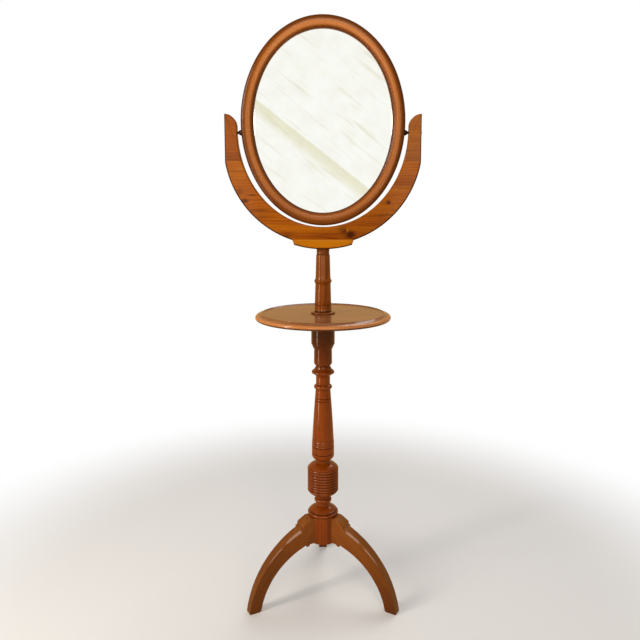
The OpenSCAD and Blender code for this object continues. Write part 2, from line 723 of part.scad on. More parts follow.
module mirror_frame() {
  color([0.55, 0.3, 0.12])
    difference() {
      oval_ring(mould_profile);
      for (side = [0, 1]) mirror([side, 0, 0]) translate([boss_seat, 0, pivot_z]) rotate([0, 90, 0]) {
        cylinder(r = boss_r + glue, h = 6);
        translate([0, 0, -shank_len - glue]) cylinder(r = shank_r + glue, h = shank_len + 1);
      }
    }
}

module mirror_glass() {
  color([0.85, 0.88, 0.88]) oval_plate(rebate_w - 2, glass_front, glass_t);
}

block_l = 24;

module glazing_blocks() {
  color([0.78, 0.63, 0.42])
    for (i = [0:glass_blocks - 1]) {
      t = 360 * (i + 0.5) / glass_blocks;
      q = oval_point(0, t);
      translate([q[0], 0, mirror_z + q[1]]) rotate([0, -oval_normal(t), 0])
        translate([4.5, -glass_back, -block_l / 2])
          cube([rebate_w - 5.2, mould_back + glass_back, block_l]);
    }
}

board_u = rebate_w + 13;

module at_backing_screws() {
  for (i = [0:backboard_screws - 1]) {
    q = oval_point(board_u - 6, 360 * (i + 0.5) / backboard_screws);
    translate([q[0], mould_back + backboard_t, mirror_z + q[1]]) rotate([-90, 0, 0]) children();
  }
}

backing_head_r = 3;
backing_shank_r = 1.3;

module backing_board() {
  color([0.5, 0.36, 0.22])
    difference() {
      oval_plate(board_u, -mould_back, backboard_t);
      at_backing_screws() screw_hole(backboard_t + over, backing_head_r, backing_shank_r);
    }
}

module backing_screws() {
  color([0.35, 0.32, 0.28]) at_backing_screws() translate([0, 0, -sink])
    wood_screw(12, backing_head_r, backing_shank_r);
}

column();
leg_left();
leg_right();
leg_back();
tray();
tray_screws();
upper_post();
saddle_block();
saddle_screws();
yoke_board();
yoke_horn_left();
yoke_horn_right();
yoke_dowels();
pivot_screw_left();
pivot_screw_right();
pivot_boss_left();
pivot_boss_right();
mirror_frame();
mirror_glass();
glazing_blocks();
backing_board();
backing_screws();
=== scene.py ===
import collections
import json
import math

import bpy
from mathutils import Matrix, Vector


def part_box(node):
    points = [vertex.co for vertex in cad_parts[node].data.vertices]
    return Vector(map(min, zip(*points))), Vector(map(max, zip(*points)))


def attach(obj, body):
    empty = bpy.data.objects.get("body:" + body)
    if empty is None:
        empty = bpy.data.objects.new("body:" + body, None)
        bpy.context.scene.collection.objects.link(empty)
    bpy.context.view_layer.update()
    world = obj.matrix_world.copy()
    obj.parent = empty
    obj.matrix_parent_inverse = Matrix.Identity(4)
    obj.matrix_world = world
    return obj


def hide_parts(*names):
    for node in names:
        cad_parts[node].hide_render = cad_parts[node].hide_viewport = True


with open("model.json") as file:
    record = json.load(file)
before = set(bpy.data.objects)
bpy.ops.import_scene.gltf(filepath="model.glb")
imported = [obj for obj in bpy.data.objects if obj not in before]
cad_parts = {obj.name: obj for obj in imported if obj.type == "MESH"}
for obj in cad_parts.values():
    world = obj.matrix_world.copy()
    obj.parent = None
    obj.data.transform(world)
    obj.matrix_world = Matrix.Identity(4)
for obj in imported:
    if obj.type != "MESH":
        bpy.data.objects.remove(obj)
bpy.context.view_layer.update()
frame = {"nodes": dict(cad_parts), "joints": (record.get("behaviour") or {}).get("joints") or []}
nodes = frame["nodes"]

# ---- places on the stand, in metres ---------------------------------------------------
UP, ACROSS, BACKWARDS = (0, 0, 1), (1, 0, 0), (0, 1, 0)
PIVOT = tuple(frame["joints"][0]["pos_m"])   # the middle of the mirror's axis
TRAY_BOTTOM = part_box("tray")[0][2]
TRAY_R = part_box("tray")[1][0]
GLUE_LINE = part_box("yoke_board")[1][2]       # where the horns stand on the board
FRAME_LOW, FRAME_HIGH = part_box("mirror_frame")
LEG_SLOPE = math.radians(47)                 # how steeply the grain runs down the legs
# degrees: which way each leg points, from +X towards +Y
LEG_AZIMUTH = {"leg_left": 210, "leg_right": 330, "leg_back": 90}


# ---- colours --------------------------------------------------------------------------
def rgb(*levels):
    """A colour as it is seen, 0 to 255, in the linear values that shaders take."""
    return tuple((c / 255 / 12.92) if c < 10.3 else ((c / 255 + 0.055) / 1.055) ** 2.4 for c in levels)


def scaled(colour, *factors):
    """A colour times one factor, or times one for each channel, with 1 at most in each."""
    if len(factors) == 1:
        factors *= 3
    return tuple(min(1.0, c * k) for c, k in zip(colour, factors))


# ---- node trees -----------------------------------------------------------------------
class Net:
    """A node tree, with short calls that add a node and give back its result.
    What they are given is such results or constants."""

    def __init__(self, tree):
        self.tree = tree

    def add(self, kind, **props):
        node = self.tree.nodes.new(kind)
        for key, value in props.items():
            setattr(node, key, value)
        return node

    def put(self, value, socket):
        """Links a result to an input, or sets the input's own value."""
        if isinstance(value, bpy.types.NodeSocket):
            self.tree.links.new(value, socket)
        else:
            socket.default_value = value

    def calc(self, op, *values, clamp=False):
        """A number worked out of numbers; clamp keeps it from 0 to 1."""
        node = self.add("ShaderNodeMath", operation=op, use_clamp=clamp)
        for value, socket in zip(values, node.inputs):
            self.put(value, socket)
        return node.outputs[0]

    def plus(self, a, b):
        return self.calc("ADD", a, b)

    def minus(self, a, b):
        return self.calc("SUBTRACT", a, b)

    def times(self, a, b):
        return self.calc("MULTIPLY", a, b)

    def over(self, a, b):
        return self.calc("DIVIDE", a, b)

    def larger(self, a, b):
        return self.calc("MAXIMUM", a, b)

    def hypot(self, a, b):
        return self.calc("SQRT", self.plus(self.times(a, a), self.times(b, b)))

    def calc3(self, op, *values):
        """A vector worked out of vectors, or a number if it is a dot product or a length."""
        node = self.add("ShaderNodeVectorMath", operation=op)
        for value, socket in zip(values, node.inputs):
            self.put(value, socket)
        return node.outputs["Value" if op in ("DOT_PRODUCT", "LENGTH") else "Vector"]

    def join(self, *values):
        """A vector from its x, y and z."""
        node = self.add("ShaderNodeCombineXYZ")
        for value, socket in zip(values, node.inputs):
            self.put(value, socket)
        return node.outputs[0]

    def split(self, vector):
        """The x, y and z of a vector, or the red, green and blue of a colour."""
        node = self.add("ShaderNodeSeparateXYZ")
        self.put(vector, node.inputs[0])
        return node.outputs

    def place(self):
        """Where the shaded point is in its own object, in metres."""
        return self.add("ShaderNodeTexCoord").outputs["Object"]

    def ramp(self, value, stops, smooth=False):
        """A colour read between stops, each (position from 0 to 1, colour)."""
        node = self.add("ShaderNodeValToRGB")
        node.color_ramp.interpolation = "EASE" if smooth else "LINEAR"
        elements = node.color_ramp.elements
        while len(elements) < len(stops):
            elements.new(0.5)
        for element, (position, colour) in zip(elements, stops):
            element.position = position
            element.color = (*colour, 1.0)
        self.put(value, node.inputs[0])
        return node.outputs[0]

    def grey(self, value, *stops, smooth=False):
        """A number read between stops, each (position from 0 to 1, number)."""
        return self.ramp(value, [(position, (v, v, v)) for position, v in stops], smooth)

    def mix(self, share, a, b, blend="MIX"):
        """Colour a with a share of colour b."""
        node = self.add("ShaderNodeMix", data_type="RGBA", blend_type=blend)
        colour_a, colour_b = node.inputs[6], node.inputs[7]
        self.put(share, node.inputs[0])
        for value, socket in ((a, colour_a), (b, colour_b)):
            self.put((*value, 1.0) if isinstance(value, tuple) else value, socket)
        return node.outputs[2]

    def noise(self, vector, scale, detail, w=None, rough=0.5):
        """Noise in spots of 1/scale; w is a fourth number that it reads."""
        node = self.add("ShaderNodeTexNoise", noise_dimensions="3D" if w is None else "4D")
        self.put(vector, node.inputs["Vector"])
        if w is not None:
            self.put(w, node.inputs["W"])
        node.inputs["Scale"].default_value = scale
        node.inputs["Detail"].default_value = detail
        node.inputs["Roughness"].default_value = rough
        return node.outputs

    def hidden(self, distance, inside=False):
        """Share of the ways off the surface, or into it, that meet another face within a distance."""
        node = self.add("ShaderNodeAmbientOcclusion", inside=inside, only_local=True, samples=8)
        node.inputs["Distance"].default_value = distance
        return self.minus(1.0, node.outputs["AO"])


def material(name):
    """A new material, its net and its shader."""
    mat = bpy.data.materials.new(name)
    mat.use_nodes = True
    return mat, Net(mat.node_tree), mat.node_tree.nodes["Principled BSDF"]


def bump(net, shader, height, strength, distance):
    node = net.add("ShaderNodeBump")
    node.inputs["Strength"].default_value = strength
    node.inputs["Distance"].default_value = distance
    net.put(height, node.inputs["Height"])
    net.put(node.outputs[0], shader.inputs["Normal"])


def dress(piece, mat):
    """Gives a material to a CAD node, by name, or to an object."""
    data = (nodes[piece] if isinstance(piece, str) else piece).data
    data.materials.clear()
    data.materials.append(mat)


# ---- grain ----------------------------------------------------------------------------
# a and b are the places across the grain in metres; vector and w are what the noise reads,
# and along says which parts of vector run with the grain
Grain = collections.namedtuple("Grain", "a b vector w along")
# ovals on the front of a board, in metres; a knot bends the grain as far as reach times its size
Knot = collections.namedtuple("Knot", "x z half_w half_h dark reach")
Mark = collections.namedtuple("Mark", "x z half_w half_h strength")


def straight_grain(direction, side):
    """Grain in one direction; side is any direction across it."""
    way = Vector(direction).normalized()
    across = (Vector(side) - way * Vector(side).dot(way)).normalized()
    axes = (across, way.cross(across), way)

    def make(net):
        place = net.place()
        a, b, along = (net.calc3("DOT_PRODUCT", place, tuple(axis)) for axis in axes)
        return Grain(a, b, net.join(a, b, along), None, (False, False, True))
    return make


def oval_grain(centre, half_w, half_h):
    """Grain that runs round an oval in the XZ plane."""
    mean = (half_w + half_h) / 2

    def make(net):
        x, y, z = net.split(net.calc3("SUBTRACT", net.place(), centre))
        x, z = net.over(x, half_w), net.over(z, half_h)
        far = net.hypot(x, z)
        out = net.times(net.minus(far, 1.0), mean)
        cos, sin = net.times(net.over(x, far), mean), net.times(net.over(z, far), mean)
        return Grain(out, y, net.join(cos, sin, out), y, (True, True, False))
    return make


def fibre(net, grain, across, along, detail=2.0, shift=0.0):
    """Noise stretched along the grain, in spots of 1/across by 1/along metres.
    A shift gives another stretch of the same noise."""
    stretch = tuple(along if with_grain else across for with_grain in grain.along)
    vector = net.calc3("ADD", net.calc3("MULTIPLY", grain.vector, stretch), (shift, shift * 0.7, shift * 1.3))
    w = None if grain.w is None else net.times(grain.w, across)
    return net.noise(vector, 1.0, detail, w=w, rough=0.55)


def oval_distance(net, spot):
    """Distance from a knot or mark, which is 1 on its outline, and the height above its middle."""
    x, _, z = net.split(net.place())
    rise = net.minus(z, spot.z)
    return net.hypot(net.over(net.minus(x, spot.x), spot.half_w), net.over(rise, spot.half_h)), rise


def knots_at(net, knots):
    """How far knots push the grain lines up or down, and where they are dark, with a torn edge."""
    ragged = net.noise(net.place(), 170.0, 3.0)["Fac"]
    uneven = net.times(net.minus(ragged, 0.5), 1.3)
    push = dark = 0.0
    for knot in knots:
        far, rise = oval_distance(net, knot)
        near = net.calc("POWER", math.e, net.times(net.times(far, far), -1 / knot.reach ** 2))
        push = net.plus(push, net.times(net.times(rise, near), -0.8))
        torn = net.times(net.plus(far, uneven), 0.5)
        dark = net.larger(dark, net.grey(torn, (0.0, knot.dark), (0.36, knot.dark * 0.9),
                                         (0.52, knot.dark * 0.35), (0.9, 0.0), smooth=True))
    return push, dark


def marks_at(net, grain, marks):
    """Where soft marks lie, drawn out in strands along the grain."""
    strands = net.grey(fibre(net, grain, 260, 14, detail=3.0, shift=51)["Fac"], (0.36, 0.25), (0.62, 1.0))
    mask = 0.0
    for mark in marks:
        far, _ = oval_distance(net, mark)
        mask = net.larger(mask, net.times(net.grey(far, (0.0, 1.0), (1.0, 0.0), smooth=True), mark.strength))
    return net.times(mask, strands)


# ---- wood -----------------------------------------------------------------------------
HIGHLIGHT_TAN = rgb(204, 128, 70)         # the pale tan of a painted highlight on varnish
HIGH_UP = (0.0, 0.0, 3.0)        # metres: faces that look away from here look down
DIRT_REACH = 0.007               # metres: how far dark polish lies out of a corner
RUB_AND_SHEEN_REACH = 0.0025               # and how far an edge is painted pale, as worn polish and as a painted highlight
RELIEF = 0.0003                  # metres: depth of the fibres
BARE_SHEEN = 0.05                # the wood itself hardly shines under its varnish


def ring_phase(net, grain, pith, ring, warp, push, shift):
    """How far a place is through its growth ring, 0 to 1 away from the pith."""
    wander = net.split(fibre(net, grain, 7, 1.6, shift=shift)["Color"])
    a, b = (net.plus(net.minus(place, middle), net.times(net.minus(drift, 0.5), warp))
            for place, middle, drift in zip((grain.a, grain.b), pith, wander))
    small = fibre(net, grain, 60, 4, shift=shift + 3)["Fac"]
    far = net.plus(net.hypot(a, net.plus(b, push)), net.times(small, ring * 0.8))
    return net.calc("FRACT", net.over(far, ring))


def ring_lines(net, grain, phase, shift):
    """Late wood on the outer side of each ring, stronger in some parts than in others."""
    line = net.grey(phase, (0.0, 0.0), (0.5, 0.25), (0.84, 1.0), (1.0, 0.0), smooth=True)
    broad = fibre(net, grain, 20, 2.2, shift=shift + 7)["Fac"]
    return net.times(line, net.grey(broad, (0.35, 0.1), (0.62, 1.0)))


def streaked(net, grain, colour, tone, early, late, streaks, shift):
    """Broad dark patches where tone is high, then honey streaks, then narrow dark ones."""
    colour = net.mix(net.grey(tone, (0.42, 0.0), (0.68, 0.55)), colour, scaled(late, 0.72))
    light = fibre(net, grain, 34, 2.8, shift=shift + 14)["Fac"]
    colour = net.mix(net.grey(light, (0.52, 0.0), (0.70, 0.35)), colour, scaled(early, 1.3, 1.55, 1.3))
    narrow = fibre(net, grain, 150, 5.0, detail=3.0, shift=shift + 17)["Fac"]
    narrow = net.times(net.grey(narrow, (0.54, 0.0), (0.74, 1.0)), streaks)
    return net.mix(narrow, colour, scaled(late, 0.3))


def looks_away(net, middle):
    """1 on faces that look away from a place, seen from the front, and -1 on those that look at it."""
    away = net.calc3("MULTIPLY", net.calc3("SUBTRACT", net.place(), middle), (1.0, 0.0, 1.0))
    normal = net.add("ShaderNodeNewGeometry").outputs["Normal"]
    return net.calc3("DOT_PRODUCT", normal, net.calc3("NORMALIZE", away))


def old_polish_and_sheen(net, grain, colour, gloss, early, deep, dirt, shift):
    """Old polish darkens and dulls the corners; the edges are painted pale, as worn polish and as a painted
    highlight.
    """
    corner = net.times(net.grey(net.hidden(DIRT_REACH), (0.08, 0.0), (0.5, 1.0)), dirt)
    colour = net.mix(corner, colour, scaled(deep, 0.3))
    rub_and_sheen = fibre(net, grain, 60, 25, detail=3.0, shift=shift + 31)["Fac"]
    edge = net.times(net.grey(net.hidden(RUB_AND_SHEEN_REACH, inside=True), (0.45, 0.0), (0.8, 1.0)),
                     net.grey(rub_and_sheen, (0.4, 0.1), (0.7, 0.5)))
    colour = net.mix(edge, colour, tuple(min(1.0, 1.4 * v + 0.01) for v in early))
    return colour, net.plus(gloss, net.times(corner, 0.25))


def wood(name, grain, early, late, pith, ring=0.005, contrast=0.4, warp=0.012, streaks=0.3, fibres=900,
         knots=(), smoke=(), pale=(), shade=None, painted_highlight=None, underside_shade=0.0, under_from=HIGH_UP, dirt=0.8,
         rough=0.3, coat=0.18, coat_rough=0.1, relief=0.1, shift=0.0):
    """Varnished softwood, with growth rings of early and late wood.
    pith is the rings' middle across the grain, ring their width and warp how far they wander, in metres,
    and there are as many fibres to a metre. contrast, streaks and dirt say how dark the rings, the streaks
    and the corners are, and the underside argument how dark the painted shade is on the faces that look
    away from under_from. shade and the highlight argument are called with the net and the grain: shade says
    where the colour is darkened, much of it as painted shade, and the other where a painted highlight lies."""
    mat, net, shader = material(name)
    grain = grain(net)
    deep = scaled(late, 0.3)
    push, knot = knots_at(net, knots) if knots else (0.0, 0.0)
    phase = ring_phase(net, grain, pith, ring, warp, push, shift)
    line = ring_lines(net, grain, phase, shift)
    tone = fibre(net, grain, 13, 2.2, shift=shift + 11)["Fac"]
    fine = fibre(net, grain, fibres, 22, shift=shift + 23)["Fac"]
    colour = net.mix(net.times(line, contrast), early, late)
    colour = streaked(net, grain, colour, tone, early, late, streaks, shift)
    colour = net.mix(1.0, colour, net.grey(fine, (0.25, 0.86), (0.75, 1.12)), "MULTIPLY")
    if smoke:
        colour = net.mix(marks_at(net, grain, smoke), colour, scaled(deep, 0.5))
    if pale:
        colour = net.mix(marks_at(net, grain, pale), colour, scaled(early, 1.5, 1.9, 4.0))
    if knots:
        heart = net.mix(net.grey(phase, (0.0, 0.2), (0.5, 0.8), (1.0, 0.2)), scaled(deep, 0.5), deep)
        colour = net.mix(knot, colour, heart)
    # colour painted darker where the shade mask says, much of it painted shade
    if shade:
        colour = net.mix(shade(net, grain), colour, scaled(late, 0.35))
    # painted highlight: a pale tan laid where the highlight mask says
    if painted_highlight:
        colour = net.mix(painted_highlight(net, grain), colour, HIGHLIGHT_TAN)
    # painted shade on the faces that look away from under_from
    if underside_shade:
        away = net.grey(looks_away(net, under_from), (0.05, 0.0), (0.3, underside_shade))
        colour = net.mix(away, colour, scaled(deep, 0.6))
    gloss = net.plus(rough - 0.06, net.times(fine, 0.12))
    if dirt:
        colour, gloss = old_polish_and_sheen(net, grain, colour, gloss, early, deep, dirt, shift)
    net.put(colour, shader.inputs["Base Color"])
    net.put(gloss, shader.inputs["Roughness"])
    shader.inputs["Specular IOR Level"].default_value = BARE_SHEEN
    shader.inputs["Coat Weight"].default_value = coat
    shader.inputs["Coat Roughness"].default_value = coat_rough
    if relief:
        height = net.plus(net.times(fine, 0.5), net.times(line, -0.5))
        bump(net, shader, net.plus(height, net.times(tone, 1.5)), relief, RELIEF)
    return mat


def shade_by_height(*stops):
    """Painted shade by the height above the floor, each stop (height in metres, 1 at most, darkness)."""
    def make(net, grain):
        return net.grey(net.split(net.place())[2], *stops)
    return make


# ---- column, post and legs ------------------------------------------------------------
# painted shade: the column is painted a little darker at the floor, and darker and darker close under the
# tray, as the tray's shadow
column_painted_shade = shade_by_height((0.0, 0.1), (0.40, 0.0), (TRAY_BOTTOM - 0.16, 0.0), (TRAY_BOTTOM - 0.11, 0.35),
                               (TRAY_BOTTOM - 0.06, 0.75), (TRAY_BOTTOM, 0.95))
# painted shade: the legs darker and darker towards their feet
leg_painted_shade = shade_by_height((0.0, 0.6), (0.1, 0.35), (0.2, 0.0))

dress("column", wood("column_pine", straight_grain(UP, ACROSS), rgb(136, 58, 4), rgb(94, 29, 2),
                     pith=(0.055, 0.03), ring=0.006, contrast=0.45, shade=column_painted_shade, dirt=0.95, coat=0.7))
dress("upper_post", wood("post_pine", straight_grain(UP, ACROSS), rgb(142, 70, 5), rgb(92, 29, 2),
                         pith=(-0.05, 0.045), ring=0.006, contrast=0.55, dirt=0.95, coat=0.7, shift=5.0))
for i, (leg, azimuth) in enumerate(LEG_AZIMUTH.items()):
    x, y = math.cos(math.radians(azimuth)), math.sin(math.radians(azimuth))
    down = (x * math.cos(LEG_SLOPE), y * math.cos(LEG_SLOPE), -math.sin(LEG_SLOPE))
    dress(leg, wood(leg + "_pine", straight_grain(down, (-y, x, 0)), rgb(142, 72, 8), rgb(94, 36, 3),
                    pith=(0.03, 0.09), ring=0.006, contrast=0.6, shade=leg_painted_shade, underside_shade=0.6, dirt=0.5,
                    coat=1.0, coat_rough=0.08, shift=20.0 + 7 * i))


# ---- tray -----------------------------------------------------------------------------
NOSING_W = 0.0095                # metres: width of the rounded nosing
NOSING_PALE_W = 0.0065           # and of the part of it painted pale as a highlight


def tray_rim_highlight(net, grain):
    """A painted highlight along the tray's nosing."""
    radius = net.calc3("LENGTH", net.calc3("MULTIPLY", net.place(), (1.0, 1.0, 0.0)))
    return net.grey(radius, (TRAY_R - NOSING_W, 0.0), (TRAY_R - NOSING_PALE_W, 0.85))


dress("tray", wood("tray_pine", straight_grain(ACROSS, UP), rgb(152, 94, 54), rgb(118, 66, 36),
                   pith=(0.68, 0.02), ring=0.0052, contrast=0.35, painted_highlight=tray_rim_highlight, underside_shade=0.9, coat=0.8,
                   relief=0.03, shift=9.0))

# ---- yoke -----------------------------------------------------------------------------
YOKE_KNOTS = [Knot(0.074, 1.013, 0.013, 0.009, 1.0, 3.2), Knot(0.174, 1.099, 0.0055, 0.005, 0.95, 4.6),
              Knot(-0.208, 1.103, 0.009, 0.005, 0.9, 3.0), Knot(-0.189, 1.118, 0.013, 0.0016, 0.8, 2.0)]
YOKE_SMOKE = [Mark(0.056, 1.026, 0.026, 0.018, 0.95), Mark(-0.222, 1.128, 0.018, 0.018, 0.6),
              Mark(-0.095, 1.012, 0.028, 0.012, 0.6), Mark(-0.170, 1.079, 0.044, 0.005, 0.8),
              Mark(0.150, 1.064, 0.045, 0.010, 0.4), Mark(-0.165, 1.060, 0.050, 0.009, 0.45)]
YOKE_PALE = [Mark(0.066, 1.024, 0.005, 0.013, 0.8), Mark(-0.218, 1.186, 0.020, 0.004, 0.7)]
# the right horn is painted lighter and pinker than the left: a painted reflection
HORN_TONES = {"yoke_horn_left": (rgb(152, 76, 4), rgb(114, 44, 2)),
              "yoke_horn_right": (rgb(172, 98, 26), rgb(138, 64, 12))}

dress("saddle_block", wood("saddle_pine", straight_grain(ACROSS, UP), rgb(190, 110, 5), rgb(150, 66, 2),
                           pith=(0.90, 0.05), ring=0.006, contrast=0.6, underside_shade=0.9, under_from=PIVOT,
                           coat=0.12, shift=13.0))
dress("yoke_board", wood("yoke_pine", straight_grain(ACROSS, BACKWARDS), rgb(172, 92, 4), rgb(130, 52, 2),
                         pith=(0.045, 0.93), ring=0.0072, contrast=0.95, warp=0.022, streaks=0.45,
                         knots=YOKE_KNOTS, smoke=YOKE_SMOKE, pale=YOKE_PALE, underside_shade=0.95, under_from=PIVOT,
                         coat=0.12, shift=2.0))
for i, (horn, tones) in enumerate(HORN_TONES.items()):
    dress(horn, wood(horn + "_pine", straight_grain(ACROSS, BACKWARDS), *tones, pith=(0.05, 1.16 + 0.2 * i),
                     ring=0.0065, contrast=0.85, warp=0.016, streaks=0.45, underside_shade=0.9, under_from=PIVOT,
                     coat=0.12, shift=40.0 + 9 * i))

# ---- pieces inside and at the back ----------------------------------------------------
dress("yoke_dowels", wood("dowel_beech", straight_grain(UP, ACROSS), rgb(206, 168, 116), rgb(176, 132, 82),
                          pith=(0.02, 0.02), ring=0.002, contrast=0.3, dirt=0.0, rough=0.6, coat=0.0))
dress("glazing_blocks", wood("block_softwood", straight_grain(ACROSS, UP), rgb(208, 170, 114),
                             rgb(170, 122, 70), pith=(0.9, 0.1), ring=0.003, contrast=0.4, dirt=0.0,
                             rough=0.65, coat=0.0))
dress("backing_board", wood("backboard_softwood", straight_grain(UP, ACROSS), rgb(146, 106, 66),
                            rgb(98, 62, 34), pith=(0.02, 0.35), ring=0.007, contrast=0.55, streaks=0.45,
                            dirt=0.4, rough=0.6, coat=0.05, shift=60.0))

# ---- smooth turnings and soft arrises -------------------------------------------------
JOIN = 1e-5                       # metres: points as near as this are one
SMOOTH_BELOW = math.radians(35)   # faces that meet at less than this shade as one curved surface
FLAT_BELOW = math.radians(0.05)   # faces that meet at less than this are one flat face
HAIR = 0.0008                     # metres: how near an edge is to a plane that it counts as lying in
# metres: how far the sawn pieces' arrises are rounded
ARRIS = {"yoke_board": 0.0036, "yoke_horn_left": 0.0028, "yoke_horn_right": 0.0028, "saddle_block": 0.0036}


def mesh_net(name):
    """Modifier nodes that shade a mesh smooth except at its sharp edges.
    Returns the net, the geometry so far and whether an edge is sharp."""
    tree = bpy.data.node_groups.new(name, "GeometryNodeTree")
    for way in ("INPUT", "OUTPUT"):
        tree.interface.new_socket("Geometry", in_out=way, socket_type="NodeSocketGeometry")
    net = Net(tree)
    start = net.add("NodeGroupInput")
    faces = net.add("GeometryNodeSetShadeSmooth", domain="FACE")
    edges = net.add("GeometryNodeSetShadeSmooth", domain="EDGE")
    angle = net.add("GeometryNodeInputMeshEdgeAngle").outputs["Unsigned Angle"]
    sharp = net.calc("GREATER_THAN", angle, SMOOTH_BELOW)
    faces.inputs["Shade Smooth"].default_value = True
    edges.inputs["Shade Smooth"].default_value = False
    net.put(start.outputs[0], faces.inputs["Geometry"])
    net.put(faces.outputs[0], edges.inputs["Geometry"])
    net.put(sharp, edges.inputs["Selection"])
    return net, edges.outputs[0], sharp


def add_modifier(piece, net, geometry):
    net.put(geometry, net.add("NodeGroupOutput").inputs[0])
    piece.modifiers.new(net.tree.name, "NODES").node_group = net.tree


def join_faces(piece):
    """Joins the faces that came apart from the CAD's surfaces."""
    piece.modifiers.new("join", "WELD").merge_threshold = JOIN


def shade_smooth(node):
    """Shades a turned or swept piece as one smooth surface between its sharp edges."""
    join_faces(nodes[node])
    net, geometry, _ = mesh_net("smooth_" + node)
    add_modifier(nodes[node], net, geometry)


def soften(node, half, glue_z, width):
    """Rounds the arrises round the front and back faces, which lie at y = -half and half, but not at
    the glued joint at height glue_z."""
    piece = nodes[node]
    join_faces(piece)
    flat = piece.modifiers.new("flat_faces", "DECIMATE")
    flat.decimate_type = "DISSOLVE"
    flat.angle_limit = FLAT_BELOW
    net, geometry, sharp = mesh_net("arrises_" + node)
    place = net.split(net.add("GeometryNodeInputPosition").outputs[0])
    outside = net.calc("GREATER_THAN", net.calc("ABSOLUTE", place[1]), half - HAIR)
    free = net.calc("GREATER_THAN", net.calc("ABSOLUTE", net.minus(place[2], glue_z)), HAIR)
    weigh = net.add("GeometryNodeStoreNamedAttribute", data_type="FLOAT", domain="EDGE")
    weigh.inputs["Name"].default_value = "bevel_weight_edge"
    net.put(geometry, weigh.inputs["Geometry"])
    net.put(net.times(net.times(sharp, outside), free), weigh.inputs["Value"])
    add_modifier(piece, net, weigh.outputs[0])
    edge = piece.modifiers.new("soft_arrises", "BEVEL")
    edge.width = width
    edge.segments = 3
    edge.limit_method = "WEIGHT"
    edge.use_clamp_overlap = False
    piece.modifiers.new("even_faces", "WEIGHTED_NORMAL").keep_sharp = True


for node, width in ARRIS.items():
    soften(node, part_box(node)[1][1], GLUE_LINE, width)
for node in ("column", "upper_post", "tray", *LEG_AZIMUTH):
    shade_smooth(node)

# ---- mirror frame ---------------------------------------------------------------------
# the CAD's section, swept finely enough to shade as one smooth moulding; sizes in metres
MOULD_W = 0.034          # width of the moulding
MOULD_BACK = 0.009       # its depth behind the pivots
BACK_CHAMFER = 0.001     # cut off its outer back edge
REBATE_W = 0.012         # width of the rebate behind it
LIP = 0.0025             # the lip's back face, where the glass lies, in front of the pivots
BEAD_W = 0.003           # width of the small bead at the sight edge
# the bead's round edge, each point (outwards, in front of the lip)
BEAD = [(0.0, 0.003), (0.0006, 0.0038), (0.0015, 0.0042), (BEAD_W, 0.0042)]
OUTER_STEP = LIP + 0.002   # where the outer side ends in front of the pivots
CREST_FOOT = LIP + 0.004   # from where the crest rises
CREST = 0.015            # its height in front of the pivots
CREST_CUT = 8            # degrees of the crest's half oval left off at either end
CREST_STEPS = 36         # stretches over the crest
FRAME_ROUND = 288        # sections round the oval
CREASE = math.radians(32)   # faces of the moulding that meet at more than this make a sharp edge

frame_centre = ((FRAME_LOW[0] + FRAME_HIGH[0]) / 2, 0.0, (FRAME_LOW[2] + FRAME_HIGH[2]) / 2)
sight_a = (FRAME_HIGH[0] - FRAME_LOW[0]) / 2 - MOULD_W
sight_b = (FRAME_HIGH[2] - FRAME_LOW[2]) / 2 - MOULD_W


def oval_point(out, angle):
    """Point of the sight oval at an angle, moved outwards, square to the oval."""
    cos, sin = math.cos(angle), math.sin(angle)
    out_x, out_z = cos / sight_a, sin / sight_b
    step = out / math.hypot(out_x, out_z)
    return sight_a * cos + step * out_x, sight_b * sin + step * out_z


def mould_section():
    """(outwards, forwards) round the moulding, from the rebate's back edge."""
    points = [(REBATE_W, -MOULD_BACK), (REBATE_W, LIP), (0.0, LIP)]
    points += [(out, LIP + forward) for out, forward in BEAD]
    middle, half = (BEAD_W + MOULD_W) / 2, (MOULD_W - BEAD_W) / 2
    for i in range(CREST_STEPS + 1):
        angle = math.radians(180 - CREST_CUT - (180 - 2 * CREST_CUT) * i / CREST_STEPS)
        forward = CREST_FOOT + (CREST - CREST_FOOT) * math.sin(angle)
        points.append((middle + half * math.cos(angle), forward))
    points += [(MOULD_W, OUTER_STEP), (MOULD_W, BACK_CHAMFER - MOULD_BACK)]
    return points + [(MOULD_W - BACK_CHAMFER, -MOULD_BACK)]


def sweep_oval(name, section, count):
    """The section swept round the sight oval as one closed ring."""
    points = []
    for i in range(count):
        for out, forward in section:
            x, z = oval_point(out, 2 * math.pi * i / count)
            points.append((frame_centre[0] + x, -forward, frame_centre[2] + z))
    sides = len(section)
    faces = []
    for i in range(count):
        here, there = i * sides, (i + 1) % count * sides
        for side in range(sides):
            after = (side + 1) % sides
            faces.append((here + side, there + side, there + after, here + after))
    mesh = bpy.data.meshes.new(name)
    mesh.from_pydata(points, [], faces)
    mesh.validate()
    mesh.shade_smooth()
    mesh.set_sharp_from_angle(angle=CREASE)
    ring = bpy.data.objects.new(name, mesh)
    bpy.context.scene.collection.objects.link(ring)
    return ring


def across_moulding(net, grain):
    """0 at the sight edge, 1 at the outer edge."""
    return net.plus(net.over(grain.a, MOULD_W), 0.5)


def up_the_frame(net):
    """0 at the frame's lowest point, 1 at its highest."""
    return net.over(net.minus(net.split(net.place())[2], FRAME_LOW[2]), FRAME_HIGH[2] - FRAME_LOW[2])


def moulding_edges_and_shade(net, grain):
    """Darker along the sight edge and over the moulding's outer third, and painted shade towards the frame's
    bottom.
    """
    edges = net.grey(across_moulding(net, grain), (0.0, 0.85), (0.08, 0.6), (0.2, 0.1), (0.35, 0.0),
                     (0.6, 0.0), (0.78, 0.45), (1.0, 0.9))
    return net.larger(edges, net.grey(up_the_frame(net), (0.0, 0.3), (0.22, 0.0)))


